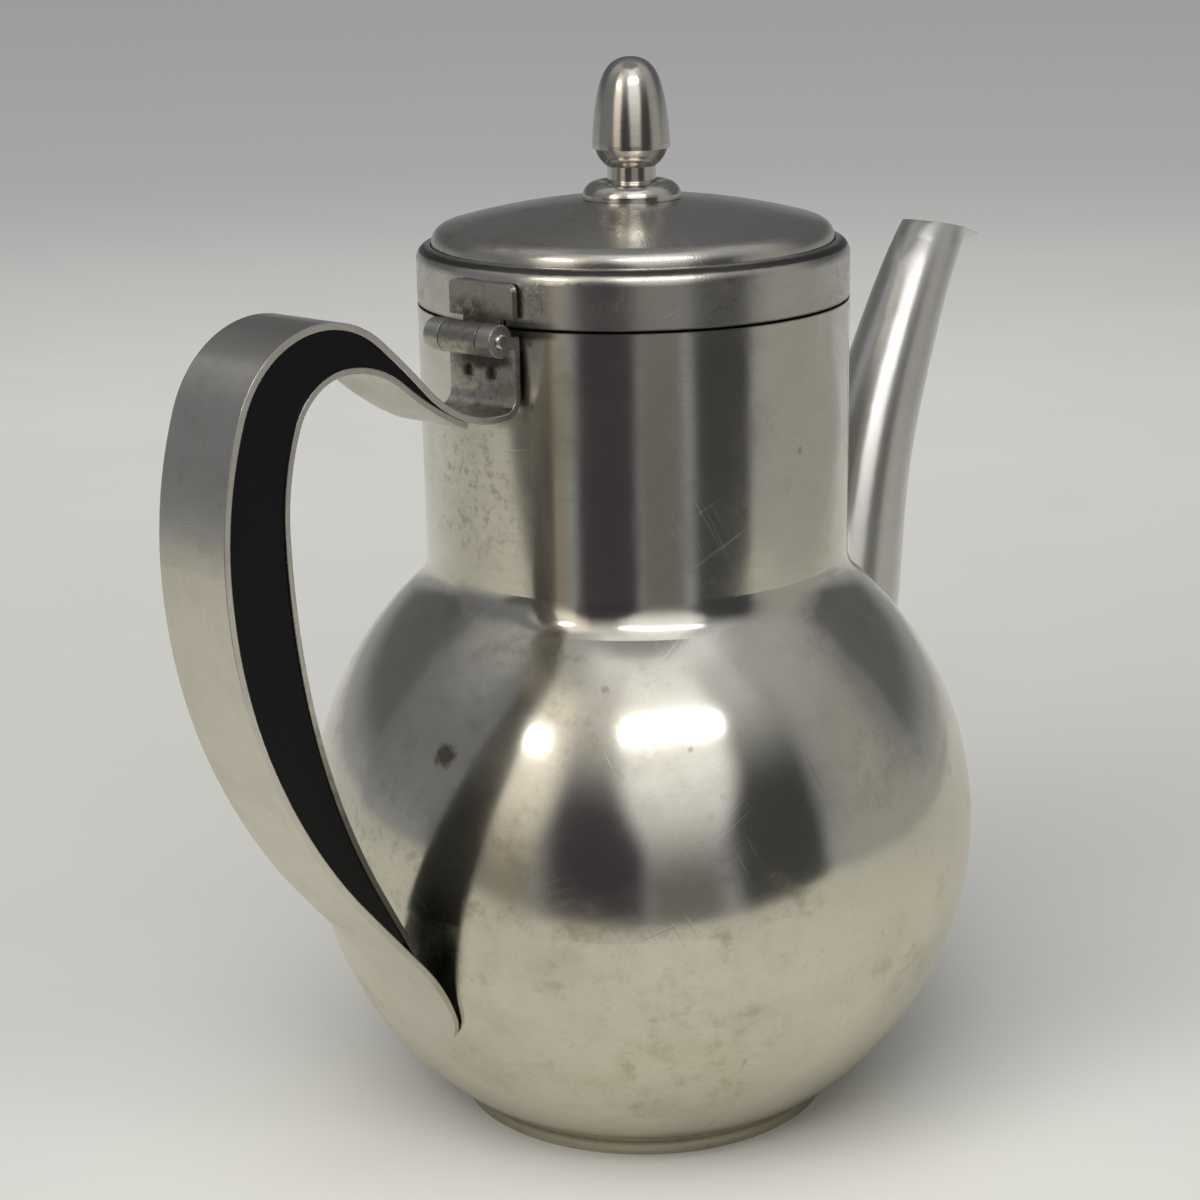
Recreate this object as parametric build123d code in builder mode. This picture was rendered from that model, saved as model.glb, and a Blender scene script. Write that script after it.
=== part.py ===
"""Steel coffee server with a hinged lid, a strap handle with a dark core, and a tapered spout.

Millimetres, +Z up. The origin is the centre of the foot ring on the surface it stands on.
+X points to the spout, so the handle and the lid's hinge are at -X.
"""

from build123d import *
from math import atan2, cos, degrees, exp, pi, radians, sin, sqrt, tan
import os

# Body: a spun ball, and a straight neck welded to its collar just above the fillet
neck_radius = 40.0
rim_z = 157.5
body_wall = 1.0
bulb_radius = 64.3
neck_fillet = 8.0
weld_rise = 0.5

# Base pan: its skirt is the foot ring, and the ball's sheet ends round it at foot_rise
foot_radius = 36.5
foot_rise = 2.56
pan_wall = 1.0
pan_height = 6.0
pan_corner = 2.0

# Clearances
seat = 0.05
lid_gap = 0.45
plug_clearance = 0.4
knuckle_gap = 0.2
pin_clearance = 0.05
hinge_back_gap = 0.35

# Lid: straight band, rounded shoulder, groove, and a low dome with a rolled edge
lid_wall = 0.9
band_height = 7.7
shoulder_radius = 2.6
groove_depth = 0.5
roll_radius = 3.1
roll_height = 3.0
dome_rise = 5.3
plug_depth = 6.0
plug_wall = 0.8
ring_step = 1.2

# Finial: acorn on a stem, a domed collar below it, and a screw from inside the lid
collar_radius = 9.1
collar_height = 2.4
collar_rim = 0.6
collar_lean = 104.0
stem_radius = 4.5
stem_height = 3.1
acorn_radius = 7.2
acorn_bevel = 3.3
acorn_height = 15.5
acorn_shoulder = 0.8
acorn_taper = [(0.95, 0.28), (0.835, 0.6), (0.64, 0.84)]
acorn_lean = 94.0
acorn_cup = (-0.45, -1)
screw_radius = 2.0
screw_head_radius = 4.0
screw_head_height = 1.8
screw_reach = 12.0
screw_tip_gap = 1.0
washer_radius = 6.5
washer_height = 0.8
washer_sag = 0.25
driver_slot_width = 1.0
driver_slot_depth = 0.9

# Handle: two bent steel strips round a dark core
strap_width = 15.6
strap_wall = 1.2
inner_strap_wall = 1.0
bend_radius = 2.7
bend_drop = 12.8
bend_exit_angle = -4.0
rise_out, rise_drop, rise_angle = 23.3, 7.3, 45.0
handle_top_out, handle_top_rise = 46.0, 6.8
handle_back_out, handle_back_drop = 67.8, 29.0
handle_low_out, handle_low_up, handle_low_angle = 17.5, 8.0, 49.0
landing_radius = 40.0
tongue_length = 6.0
tongue_flat = 0.4
core_top_depth = 6.9
core_top_offset = 5.0
core_back_depth = 11.8
core_back_drop = 4.5
core_low_depth = 3.4
inner_low_angle = 61.0
lap_length = 3.0
split_length = 13.0
core_setback = 4.0
core_recess = 0.3

# Hinge
barrel_radius = 2.9
pin_radius = 1.3
pin_head = 0.5
pin_round = 0.45
end_knuckle = 3.3
hinge_drop = 1.1
barrel_standoff = 0.7
lid_leaf_height = 9.2
lid_leaf_inset = 0.3
leaf_corner = 1.5
slot_margin = 1.0
knuckle_root = 2.1
weld_mark_radius = 1.1
weld_mark_depth = 0.3
weld_mark_spacing = 5.6
weld_mark_drop = 6.5

# Spout: its centre line out from the ball's side and up from its centre, then from the neck and rim
spout_wall = 0.9
spout_root = [(-16.0, 0.0), (2.0, 20.5)]
spout_rise = [(33.7, -51.3), (46.4, -21.1), (57.0, -3.6)]
spout_root_radius, spout_top_radius = 13.4, 7.2
spout_stations = 7
mouth_out, mouth_rise, mouth_fall = 60.8, 2.0, 13.0
mouth_half_length, mouth_half_width = 7.3, 6.6
lip_reach = 9.7
lip_sharpness = 0.45
lip_stations = 2
lip_points = 24

# Strainer holes through the body wall behind the spout
strainer_hole_radius = 1.8
strainer_spacing = 6.0
strainer_count = 6
strainer_drill_depth = 4.0

# Sizes worked out from the ones above
neck_bore = neck_radius - body_wall
plug_radius = neck_bore - plug_clearance
band_z = rim_z + lid_gap
shoulder_z = band_z + band_height
dome_radius = neck_radius - shoulder_radius - groove_depth / 2
groove_z = shoulder_z + shoulder_radius - groove_depth
dome_edge_z = groove_z + roll_height
dome_top_z = dome_edge_z + dome_rise
dome_curve = (dome_radius**2 + dome_rise**2) / (2 * dome_rise)
hinge_z = rim_z - hinge_drop
leaf_back = neck_radius + seat
leaf_front = leaf_back + strap_wall
barrel_x = leaf_front + barrel_standoff + barrel_radius
middle_knuckle = strap_width - 2 * end_knuckle - 2 * knuckle_gap
slot_depth = barrel_radius + slot_margin
hinge_reach = barrel_x + barrel_radius + knuckle_gap - leaf_back
tongue_corner = (strap_width - tongue_flat) / 2
bulb_centre_z = foot_rise + sqrt(bulb_radius**2 - foot_radius**2)
bulb_centre = Vector(0, bulb_centre_z)
fillet_run = sqrt((bulb_radius + neck_fillet) ** 2 - (neck_radius + neck_fillet) ** 2)
weld_z = bulb_centre_z + fillet_run + weld_rise
ball_side = Vector(bulb_radius, 0, bulb_centre_z)
neck_side = Vector(neck_radius, 0, rim_z)
root_middle = Vector(spout_root[0][0] + spout_root[1][0], 0, spout_root[0][1] + spout_root[1][1]) / 2


def dome_z(radius, below=0.0):
    """Height of the lid's dome at a distance from the axis, or of a surface parallel to it."""
    return dome_top_z - dome_curve + sqrt((dome_curve - below) ** 2 - radius**2)


def heading(angle):
    return Vector(cos(radians(angle)), sin(radians(angle)))


def walk(place, angle, leg):
    """Place and heading at the end of one leg, which is a length and a turn to the left."""
    length, turn = leg
    chord = length if turn == 0 else length * sin(radians(turn / 2)) / radians(turn / 2)
    return place + heading(angle + turn / 2) * chord, angle + turn


class Strip:
    """Side view of a bent strip: a start, a heading and legs of length and turn."""

    def __init__(self, start, angle, legs):
        self.start, self.angle, self.legs = start, angle, legs

    def length(self):
        return sum(length for length, turn in self.legs)

    def finish(self):
        return self.station(self.length())

    def station(self, distance):
        place, angle = self.start, self.angle
        for length, turn in self.legs:
            share = min(1.0, distance / length)
            place, angle = walk(place, angle, (length * share, turn * share))
            distance -= length * share
            if distance <= 0:
                break
        return place, angle

    def between(self, first, last):
        """The stretch between two distances from the start."""
        place, angle = self.station(first)
        legs, passed = [], 0.0
        for length, turn in self.legs:
            begin, end = max(first, passed), min(last, passed + length)
            if end > begin:
                legs.append((end - begin, turn * (end - begin) / length))
            passed += length
        return Strip(place, angle, legs)

    def beside(self, gap):
        """A parallel strip, a gap to the left of the direction of travel."""
        start = self.start + heading(self.angle + 90) * gap
        return Strip(start, self.angle, [(length - gap * radians(turn), turn) for length, turn in self.legs])

    def draw(self):
        """Draw the legs as lines and arcs in the open BuildLine."""
        place, angle = self.start, self.angle
        for length, turn in self.legs:
            middle = walk(place, angle, (length / 2, turn / 2))[0]
            end, angle = walk(place, angle, (length, turn))
            if turn == 0:
                Line(place, end)
            else:
                ThreePointArc(place, middle, end)
            place = end
        return place


def two_arcs(start, start_angle, end, end_angle):
    """Two arcs that join two stations smoothly, as legs of length and turn."""
    first, last, span = heading(start_angle), heading(end_angle), end - start
    both = first + last
    scale = 2 * (1 - first.dot(last))
    reach = (sqrt(span.dot(both) ** 2 + scale * span.dot(span)) - span.dot(both)) / scale
    joint = (start + first * reach + end - last * reach) / 2
    legs = []
    for place, angle, target in ((start, start_angle, joint), (joint, None, end)):
        chord = target - place
        angle = legs[0][1] + start_angle if angle is None else angle
        half = (degrees(atan2(chord.Y, chord.X)) - angle + 180) % 360 - 180
        legs.append((chord.length * radians(half) / sin(radians(half)), 2 * half))
    return legs


def landing(start, angle, radius, centre, ball):
    """A straight leg and an arc that bring a strip down to lie along a ball."""
    ahead, outward = heading(angle), heading(angle - 90)
    offset = (start - centre).dot(outward)
    along = sqrt((ball + radius) ** 2 - (offset + radius) ** 2)
    hub = centre + outward * (offset + radius) - ahead * along
    run = (hub - outward * radius - start).dot(ahead)
    arm = hub - centre
    turn = (degrees(atan2(arm.Y, arm.X)) + 90 - angle + 180) % 360 - 180
    return [(run, 0), (radius * radians(-turn), turn)]


def join(stations):
    """Legs through stations of a place and a heading."""
    legs = []
    for (start, start_angle), (end, end_angle) in zip(stations, stations[1:]):
        legs += two_arcs(start, start_angle, end, end_angle)
    return legs


def outline(strip, other):
    """Draw two parallel routes and close their ends, in the open BuildLine."""
    end, other_end = strip.draw(), other.draw()
    Line(strip.start, other.start)
    Line(end, other_end)


# Ball, lower half: from the base pan's opening up to the widest line
inner_radius = bulb_radius - body_wall
widest = (bulb_radius, bulb_centre_z)
inner_widest = (inner_radius, bulb_centre_z)
with BuildPart() as ball_lower:
    opening = foot_radius + seat
    outer_low_z = bulb_centre_z - sqrt(bulb_radius**2 - opening**2)
    inner_low_z = bulb_centre_z - sqrt(inner_radius**2 - opening**2)
    with BuildSketch(Plane.XZ):
        with BuildLine():
            outside = TangentArc(widest, (opening, outer_low_z), tangent=(0, -1))
            inside = TangentArc(inner_widest, (opening, inner_low_z), tangent=(0, -1))
            Line(widest, inner_widest)
            Line(outside @ 1, inside @ 1)
        make_face()
    revolve(axis=Axis.Z)
ball_lower.part.label = "ball_lower"

# Ball, upper half: its collar ends at the neck, and coffee leaves through a strainer behind the spout
with BuildPart() as ball_upper:
    neck_foot_z = bulb_centre_z + sqrt(bulb_radius**2 - neck_radius**2)
    throat_z = bulb_centre_z + sqrt(inner_radius**2 - neck_bore**2)
    with BuildSketch(Plane.XZ) as body_section:
        with BuildLine():
            outside = TangentArc(widest, (neck_radius, neck_foot_z), tangent=(0, 1))
            inside = TangentArc(inner_widest, (neck_bore, throat_z), tangent=(0, 1))
            Polyline(outside @ 1, (neck_radius, weld_z), (neck_bore, weld_z), inside @ 1)
            Line(widest, inner_widest)
        make_face()
        corners = body_section.vertices().sort_by_distance((neck_radius, neck_foot_z))
        fillet(corners[0], neck_fillet)
        corners = body_section.vertices().sort_by_distance((neck_bore, throat_z))
        fillet(corners[0], neck_fillet + body_wall)
    revolve(axis=Axis.Z)
    root_out = (ball_side + Vector(0, 0, -bulb_centre_z) + root_middle).normalized()
    root = Vector(0, 0, bulb_centre_z) + root_out * (bulb_radius + body_wall)
    with Locations(Plane(root, z_dir=root_out)):
        Hole(strainer_hole_radius, depth=strainer_drill_depth)
        with PolarLocations(strainer_spacing, strainer_count):
            Hole(strainer_hole_radius, depth=strainer_drill_depth)
ball_upper.part.label = "ball_upper"

# Neck: a straight tube that stands on the ball's collar
with BuildPart() as neck_tube:
    with BuildSketch(Plane.XY.offset(weld_z)):
        Circle(neck_radius)
        Circle(neck_bore, mode=Mode.SUBTRACT)
    extrude(amount=rim_z - weld_z)
neck_tube.part.label = "neck_tube"

# Base pan: a shallow pan let into the bottom of the ball, whose skirt is the foot
with BuildPart() as base_pan:
    with BuildSketch(Plane.XZ):
        with BuildLine():
            FilletPolyline((0, pan_height), (foot_radius, pan_height), (foot_radius, 0), radius=pan_corner)
            skirt_bore, pan_floor = foot_radius - pan_wall, pan_height - pan_wall
            Line((foot_radius, 0), (skirt_bore, 0))
            corners = ((skirt_bore, 0), (skirt_bore, pan_floor), (0, pan_floor))
            FilletPolyline(*corners, radius=pan_corner - pan_wall)
            Line((0, pan_floor), (0, pan_height))
        make_face()
    revolve(axis=Axis.Z)
base_pan.part.label = "base_pan"

# Handle: the outer strip starts as the hinge leaf on the neck and ends as a tongue on the ball
leaf_foot_z = hinge_z - bend_drop + bend_radius
outer_bend = bend_radius + strap_wall
bend_turn = -(90 + bend_exit_angle)
leaf_legs = [(hinge_z - leaf_foot_z, 0), (outer_bend * radians(-bend_turn), bend_turn)]
leaf_start = Vector(-leaf_back, hinge_z)
bend_end, bend_angle = Strip(leaf_start, -90, leaf_legs).finish()
low_angle = -handle_low_angle
rise = (Vector(-neck_radius - rise_out, rim_z - rise_drop), 180 - rise_angle)
top = (Vector(-neck_radius - handle_top_out, rim_z + handle_top_rise), 180)
back = (Vector(-neck_radius - handle_back_out, rim_z - handle_back_drop), 270)
low = (Vector(-bulb_radius - handle_low_out, bulb_centre_z + handle_low_up), 360 + low_angle)
handle_legs = join([(bend_end, bend_angle + 360), rise, top, back, low])
land_legs = landing(low[0], low[1], landing_radius, bulb_centre, bulb_radius + seat)
tongue_legs = [(tongue_length, degrees(tongue_length / (bulb_radius + seat)))]
outer_route = Strip(leaf_start, -90, leaf_legs + handle_legs + land_legs + tongue_legs)

# The inner strip leaves the outer one above the bend and meets it again above the tongue
leaf_length = sum(length for length, turn in leaf_legs)
split_place, split_angle = outer_route.beside(seat).station(leaf_length + split_length)
inner_top = (top[0] + Vector(core_top_offset, -core_top_depth), 180)
inner_back = (back[0] + Vector(core_back_depth, core_back_drop), 270)
across = heading(low[1] + 90)
inner_low = (low[0] + across * core_low_depth, 360 - inner_low_angle)
lap = outer_route.beside(seat).between(leaf_length + split_length - lap_length, leaf_length + split_length)
gap_left = core_low_depth - seat
meet_turn = radians(inner_low_angle - handle_low_angle)
meet_leg = (gap_left / sin(meet_turn), 0)
inner_legs = join([(split_place, split_angle), inner_top, inner_back, inner_low]) + [meet_leg]
inner_route = Strip(lap.start, lap.angle, lap.legs + inner_legs)

core_split = leaf_length + split_length + core_setback
low_distance = leaf_length + sum(length for length, turn in handle_legs)
core_meet = low_distance + gap_left / tan(meet_turn) - core_setback
core_outer = outer_route.between(core_split, core_meet).beside(seat)
core_inner = inner_route.between(lap_length + core_setback, inner_route.length() - core_setback).beside(-seat)

with BuildPart() as outer_strap:
    with BuildSketch(Plane.XZ):
        with BuildLine():
            outline(outer_route, outer_route.beside(-strap_wall))
        make_face()
    extrude(amount=strap_width / 2, both=True)
    tongue_edges = outer_strap.edges().filter_by(GeomType.LINE).filter_by(Axis.Y, reverse=True)
    fillet(tongue_edges.sort_by(Axis.Z)[:2], tongue_corner)
    with BuildSketch(Plane.XZ):
        with Locations((-barrel_x, hinge_z)):
            Circle(barrel_radius)
        with Locations((-leaf_back, hinge_z + knuckle_gap)):
            Rectangle(barrel_x - leaf_back, knuckle_root, align=(Align.MAX, Align.MAX))
    extrude(amount=strap_width / 2, both=True)
    with BuildSketch(Plane.YZ.offset(-leaf_back)):
        with Locations((0, hinge_z - slot_depth)):
            slot_height = slot_depth + barrel_radius + knuckle_gap
            Rectangle(middle_knuckle + 2 * knuckle_gap, slot_height, align=(Align.CENTER, Align.MIN))
    extrude(amount=-hinge_reach, mode=Mode.SUBTRACT)
    with Locations(Plane((-barrel_x, 0, hinge_z), z_dir=(0, 1, 0))):
        Cylinder(pin_radius + pin_clearance, 2 * strap_width, mode=Mode.SUBTRACT)
    with Locations(Plane((-leaf_front, 0, hinge_z - weld_mark_drop), x_dir=(0, 1, 0), z_dir=(-1, 0, 0))):
        with GridLocations(weld_mark_spacing, 0, 2, 1):
            Hole(weld_mark_radius, depth=weld_mark_depth)
outer_strap.part.label = "outer_strap"

with BuildPart() as inner_strap:
    with BuildSketch(Plane.XZ):
        with BuildLine():
            outline(inner_route, inner_route.beside(inner_strap_wall))
        make_face()
    extrude(amount=strap_width / 2, both=True)
inner_strap.part.label = "inner_strap"

with BuildPart() as handle_core:
    with BuildSketch(Plane.XZ):
        with BuildLine():
            outline(core_outer, core_inner)
        make_face()
    extrude(amount=strap_width / 2 - core_recess, both=True)
handle_core.part.label = "handle_core"

# Hinge pin, with rounded ends that stand out of the end knuckles
with BuildPart() as hinge_pin:
    with Locations(Plane((-barrel_x, 0, hinge_z), z_dir=(0, 1, 0))):
        Cylinder(pin_radius, strap_width + 2 * pin_head)
    fillet(hinge_pin.edges().filter_by(GeomType.CIRCLE), pin_round)
hinge_pin.part.label = "hinge_pin"

# Spout: an open tapered tube, trimmed to the ball, with a lip drawn out of its mouth
def spout_plane(place, tilt):
    normal = Vector(cos(radians(tilt)), 0, sin(radians(tilt)))
    return Plane(place, x_dir=(normal.Z, 0, -normal.X), z_dir=normal)


def lip_section(length, width, reach):
    """Points round the mouth, drawn out into a lip on the side away from the pot."""
    points = []
    for step in range(lip_points):
        angle = 2 * pi * step / lip_points
        turn = min(angle, 2 * pi - angle)
        drawn = reach * exp(-((turn / lip_sharpness) ** 2))
        points.append(((length + drawn) * cos(angle), width * sin(angle)))
    return points


spout_points = [ball_side + Vector(out, 0, up) for out, up in spout_root]
spout_points += [neck_side + Vector(out, 0, up) for out, up in spout_rise]
spout_line = Spline(*spout_points)
tube_sections = []
for step in range(spout_stations):
    share = step / (spout_stations - 1)
    along = spout_line % share
    radius = spout_root_radius + (spout_top_radius - spout_root_radius) * share
    tube_sections.append((spout_plane(spout_line @ share, degrees(atan2(along.Z, along.X))), radius))

# The mouth's plane falls outward, and the lip grows towards it
top = spout_line @ 1
top_tilt = degrees(atan2(along.Z, along.X))
mouth = neck_side + Vector(mouth_out, 0, mouth_rise)
mouth_sections = []
for step in range(lip_stations):
    share = (step + 1) / lip_stations
    tilt = top_tilt + (90 - mouth_fall - top_tilt) * share
    length = spout_top_radius + (mouth_half_length - spout_top_radius) * share
    width = spout_top_radius + (mouth_half_width - spout_top_radius) * share
    plane = spout_plane(top + (mouth - top) * share, tilt)
    mouth_sections.append((plane, length, width, lip_reach * share**2))

with BuildPart() as spout:
    for plane, radius in tube_sections:
        with BuildSketch(plane):
            Circle(radius)
    loft()
    with BuildSketch(tube_sections[-1][0]):
        Circle(spout_top_radius)
    for plane, length, width, reach in mouth_sections:
        with BuildSketch(plane):
            with BuildLine():
                Spline(*lip_section(length, width, reach), periodic=True)
            make_face()
    loft()
    with Locations(Plane((0, 0, bulb_centre_z), x_dir=(-1, 0, 0))):
        Sphere(bulb_radius + seat, mode=Mode.SUBTRACT)
    for plane, radius in tube_sections:
        with BuildSketch(plane):
            Circle(radius - spout_wall)
    loft(mode=Mode.SUBTRACT)
    with BuildSketch(tube_sections[-1][0]):
        Circle(spout_top_radius - spout_wall)
    for plane, length, width, reach in mouth_sections:
        with BuildSketch(plane):
            with BuildLine():
                Spline(*lip_section(length - spout_wall, width - spout_wall, reach), periodic=True)
            make_face()
    loft(mode=Mode.SUBTRACT)
spout.part.label = "spout"

# Lid shell: band, shoulder, groove, rolled edge and dome in one sheet
screw_hole = screw_radius + seat
lid_bore = neck_radius - lid_wall
dome_bore = dome_radius - lid_wall
ledge = neck_radius - shoulder_radius
ledge_z = shoulder_z + shoulder_radius


def dome_point(radius, below=0.0):
    return Vector(radius, dome_z(radius, below))


with BuildPart() as lid_shell:
    with BuildSketch(Plane.XZ) as lid_section:
        with BuildLine():
            band = Polyline((lid_bore, band_z), (neck_radius, band_z), (neck_radius, shoulder_z))
            shoulder = RadiusArc(band @ 1, (ledge, ledge_z), -shoulder_radius)
            groove = Polyline(shoulder @ 1, (dome_radius, groove_z), dome_point(dome_radius))
            dome = ThreePointArc(groove @ 1, dome_point(dome_radius / 2), dome_point(screw_hole))
            hole = Line(dome @ 1, dome_point(screw_hole, lid_wall))
            under = ThreePointArc(
                hole @ 1, dome_point(dome_radius / 2, lid_wall), dome_point(dome_bore, lid_wall)
            )
            ceiling_z = ledge_z - lid_wall
            step = Polyline(under @ 1, (dome_bore, ceiling_z), (ledge, ceiling_z))
            inner_shoulder = RadiusArc(step @ 1, (lid_bore, shoulder_z), shoulder_radius - lid_wall)
            Line(inner_shoulder @ 1, band @ 0)
        make_face()
        fillet(lid_section.vertices().sort_by_distance(dome_point(dome_radius))[0], roll_radius)
        inner_corner = dome_point(dome_bore, lid_wall)
        fillet(lid_section.vertices().sort_by_distance(inner_corner)[0], roll_radius - lid_wall)
    revolve(axis=Axis.Z)
lid_shell.part.label = "lid_shell"

# Locating ring: stepped, fixed inside the band above and free in the neck below
with BuildPart() as locating_ring:
    ring_radius = lid_bore - seat
    step_z = band_z + ring_step
    with BuildSketch(Plane.XZ):
        with BuildLine():
            Polyline(
                (plug_radius, rim_z - plug_depth),
                (plug_radius, band_z),
                (ring_radius, step_z),
                (ring_radius, shoulder_z),
                (ring_radius - plug_wall, shoulder_z),
                (ring_radius - plug_wall, step_z),
                (plug_radius - plug_wall, band_z),
                (plug_radius - plug_wall, rim_z - plug_depth),
                close=True,
            )
        make_face()
    revolve(axis=Axis.Z)
locating_ring.part.label = "locating_ring"

# Lid leaf: a plate on the band whose foot carries the middle knuckle
with BuildPart() as lid_leaf:
    with BuildSketch(Plane.YZ.offset(-leaf_back)):
        with Locations((0, hinge_z + barrel_radius + knuckle_gap)):
            plate_height = lid_leaf_height - barrel_radius - knuckle_gap
            Rectangle(strap_width - 2 * lid_leaf_inset, plate_height, align=(Align.CENTER, Align.MIN))
        with Locations((0, hinge_z)):
            Rectangle(middle_knuckle, barrel_radius + knuckle_gap, align=(Align.CENTER, Align.MIN))
    extrude(amount=-strap_wall)
    top_edges = lid_leaf.edges().filter_by(Axis.X).group_by(Axis.Z)[-1]
    fillet(top_edges, leaf_corner)
    with BuildSketch(Plane.XZ):
        with Locations((-barrel_x, hinge_z)):
            Circle(barrel_radius)
        with Locations((-leaf_back, hinge_z - knuckle_gap)):
            Rectangle(barrel_x - leaf_back, knuckle_root, align=(Align.MAX, Align.MIN))
    extrude(amount=middle_knuckle / 2, both=True)
    with BuildSketch(Plane.XY.offset(hinge_z - barrel_radius)):
        with Locations((-leaf_back, 0)):
            Rectangle(hinge_back_gap, strap_width, align=(Align.MAX, Align.CENTER))
    extrude(amount=band_z - hinge_z + barrel_radius, mode=Mode.SUBTRACT)
    with Locations(Plane((-barrel_x, 0, hinge_z), z_dir=(0, 1, 0))):
        Cylinder(pin_radius + pin_clearance, 2 * strap_width, mode=Mode.SUBTRACT)
lid_leaf.part.label = "lid_leaf"

# Finial collar: a domed washer that sits on the lid
collar_top = dome_top_z + seat + collar_height
with BuildPart() as finial_collar:
    with BuildSketch(Plane.XZ):
        with BuildLine():
            sole_radii = (screw_hole, collar_radius / 2, collar_radius)
            sole = ThreePointArc(*[dome_point(radius, -seat) for radius in sole_radii])
            rim = Line(sole @ 1, (collar_radius, dome_top_z + collar_rim))
            TangentArc(rim @ 1, (stem_radius, collar_top), tangent=heading(collar_lean))
            Polyline((stem_radius, collar_top), (screw_hole, collar_top), sole @ 0)
        make_face()
    revolve(axis=Axis.Z)
finial_collar.part.label = "finial_collar"

# Finial: an acorn and its stem, turned in one piece and tapped from below
with BuildPart() as finial:
    stem_z = collar_top
    bevel_z = stem_z + stem_height
    wide_z = bevel_z + acorn_bevel
    taper_z = wide_z + acorn_shoulder
    tip_z = taper_z + acorn_height
    with BuildSketch(Plane.XZ):
        with BuildLine():
            stem = Polyline((0, stem_z), (stem_radius, stem_z), (stem_radius, bevel_z))
            TangentArc((acorn_radius, wide_z), stem @ 1, tangent=acorn_cup)
            side = Line((acorn_radius, wide_z), (acorn_radius, taper_z))
            taper = [(acorn_radius * share, taper_z + acorn_height * rise) for share, rise in acorn_taper]
            Spline(side @ 1, *taper, (0, tip_z), tangents=[heading(acorn_lean), (-1, 0)])
            Line((0, tip_z), (0, stem_z))
        make_face()
    revolve(axis=Axis.Z)
    with Locations((0, 0, stem_z)):
        at_foot = (Align.CENTER, Align.CENTER, Align.MIN)
        Cylinder(screw_hole, screw_reach + screw_tip_gap, align=at_foot, mode=Mode.SUBTRACT)
finial.part.label = "finial"

# Washer and screw under the dome
washer_z = dome_top_z - lid_wall - washer_sag - washer_height
with BuildPart() as finial_washer:
    with BuildSketch(Plane.XY.offset(washer_z)):
        Circle(washer_radius)
        Circle(screw_hole, mode=Mode.SUBTRACT)
    extrude(amount=washer_height)
finial_washer.part.label = "finial_washer"

with BuildPart() as finial_screw:
    with BuildSketch(Plane.XY.offset(washer_z - seat)):
        Circle(screw_head_radius)
    extrude(amount=-screw_head_height)
    fillet(finial_screw.edges().filter_by(GeomType.CIRCLE).sort_by(Axis.Z)[0], screw_head_height / 2)
    with BuildSketch(Plane.XY.offset(washer_z - seat)):
        Circle(screw_radius)
    extrude(amount=stem_z + screw_reach - washer_z)
    with BuildSketch(Plane.XY.offset(washer_z - seat - screw_head_height)):
        Rectangle(2 * screw_head_radius, driver_slot_width)
    extrude(amount=driver_slot_depth, mode=Mode.SUBTRACT)
finial_screw.part.label = "finial_screw"

pieces = [ball_lower, ball_upper, neck_tube, base_pan, outer_strap, inner_strap, handle_core]
pieces += [hinge_pin, spout]
pieces += [lid_shell, locating_ring, lid_leaf, finial_collar, finial, finial_washer, finial_screw]
os.makedirs("parts", exist_ok=True)
for piece in pieces:
    export_step(piece.part, f"parts/{piece.part.label}.step")
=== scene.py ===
"""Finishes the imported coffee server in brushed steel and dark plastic, and sets it in a small studio.

Metres, +Z up. The spout points to +X, the handle and the hinge lie at -X, and the pot stands on z = 0.
"""

import logging
import math
from dataclasses import dataclass
from enum import Enum
from typing import Any, Mapping, Optional, Sequence, Union

import bmesh
import bpy
from mathutils import Matrix, Vector

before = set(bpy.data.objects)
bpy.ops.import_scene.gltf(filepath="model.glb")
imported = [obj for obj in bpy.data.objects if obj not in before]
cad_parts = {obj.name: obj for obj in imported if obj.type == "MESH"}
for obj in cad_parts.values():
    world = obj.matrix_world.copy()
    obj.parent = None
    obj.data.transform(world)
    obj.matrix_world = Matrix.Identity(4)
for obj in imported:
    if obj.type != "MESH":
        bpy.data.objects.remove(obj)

log = logging.getLogger("coffee_server")

Triple = tuple[float, float, float]
Number = Union[int, float]


# ---------------------------------------------------------------- shader arithmetic


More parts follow.
